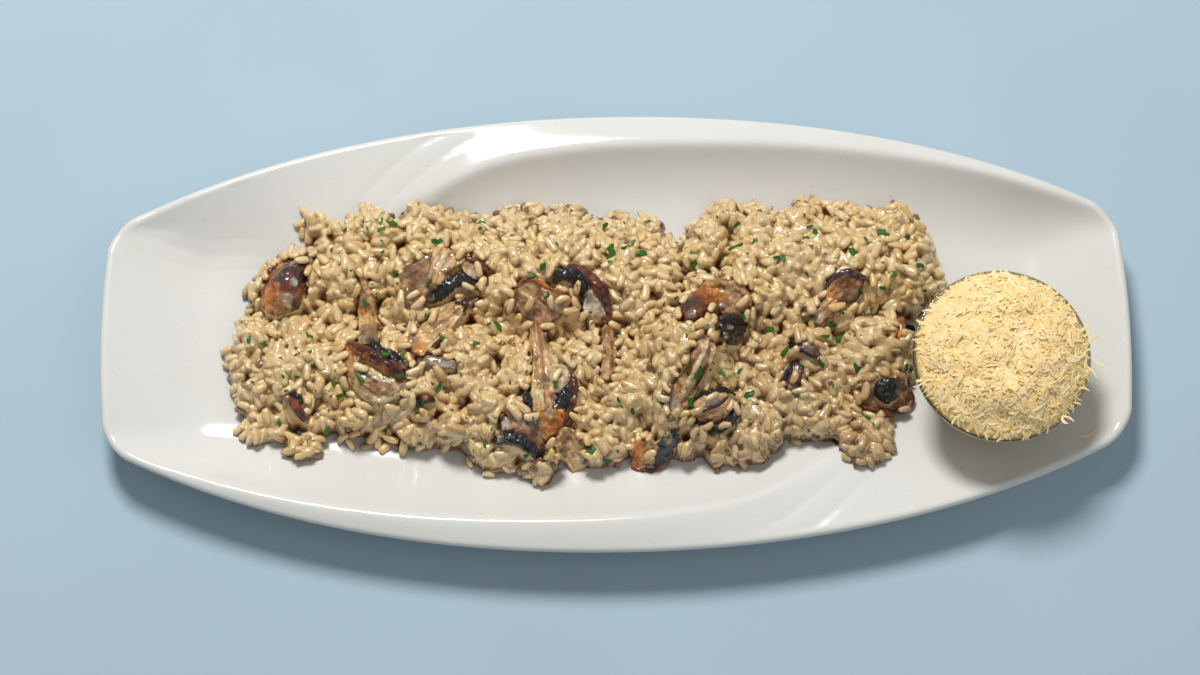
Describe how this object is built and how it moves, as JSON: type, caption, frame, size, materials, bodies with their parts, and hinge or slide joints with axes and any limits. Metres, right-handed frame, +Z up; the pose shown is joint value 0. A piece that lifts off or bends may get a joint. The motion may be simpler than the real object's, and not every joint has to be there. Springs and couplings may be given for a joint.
{
  "type": "mushroom risotto",
  "caption": "Creamy mushroom risotto heaped along a long white porcelain platter with a swirled edge, with a small glass pot of grated cheese at one end.",
  "frame": {"origin": "on the table under the middle of the platter", "axes": "+X along the platter towards the glass pot, +Y towards the platter's back long side, +Z up"},
  "size_m": [0.41, 0.1806, 0.0616],
  "materials": {
    "porcelain": "white porcelain with a smooth clear glaze",
    "rice": "moist creamy rice, beige, with a soft wet shine",
    "pot_glass": "clear pressed glass, polished",
    "cheese": "pale yellow grated hard cheese, dry and matte",
    "mushroom_brown": "fried brown mushroom cap, glazed and wet",
    "mushroom_dark": "dark mushroom gills, wet",
    "mushroom_pale": "cut mushroom flesh, tan, moist"
  },
  "bodies": {
    "root": {"platter": "porcelain", "risotto": "rice", "glass_pot": "pot_glass", "grated_cheese": "cheese", "mushroom_cap_left": "mushroom_brown", "mushroom_stem_left": "mushroom_pale", "mushroom_cap_front_left": "mushroom_brown", "mushroom_gills_front_left": "mushroom_dark", "mushroom_scrap_left": "mushroom_brown", "mushroom_wedge_back_left": "mushroom_pale", "mushroom_slice_mid_left": "mushroom_pale", "mushroom_slice_grey": "mushroom_pale", "mushroom_curl_small": "mushroom_dark", "mushroom_slice_middle": "mushroom_pale", "mushroom_block_middle": "mushroom_pale", "mushroom_cap_curved": "mushroom_brown", "mushroom_stem_thin": "mushroom_pale", "mushroom_cap_front": "mushroom_dark", "mushroom_slice_front": "mushroom_pale", "mushroom_flake_front": "mushroom_pale", "mushroom_end_front": "mushroom_brown", "mushroom_cap_right": "mushroom_brown", "mushroom_gills_right": "mushroom_dark", "mushroom_stem_right": "mushroom_pale", "mushroom_slice_right": "mushroom_dark", "mushroom_curl_right": "mushroom_dark", "mushroom_piece_right": "mushroom_pale", "mushroom_gills_low": "mushroom_dark", "mushroom_scrap_low": "mushroom_dark", "mushroom_scrap_edge": "mushroom_brown", "mushroom_cap_edge": "mushroom_dark"}
  },
  "joints": []
}
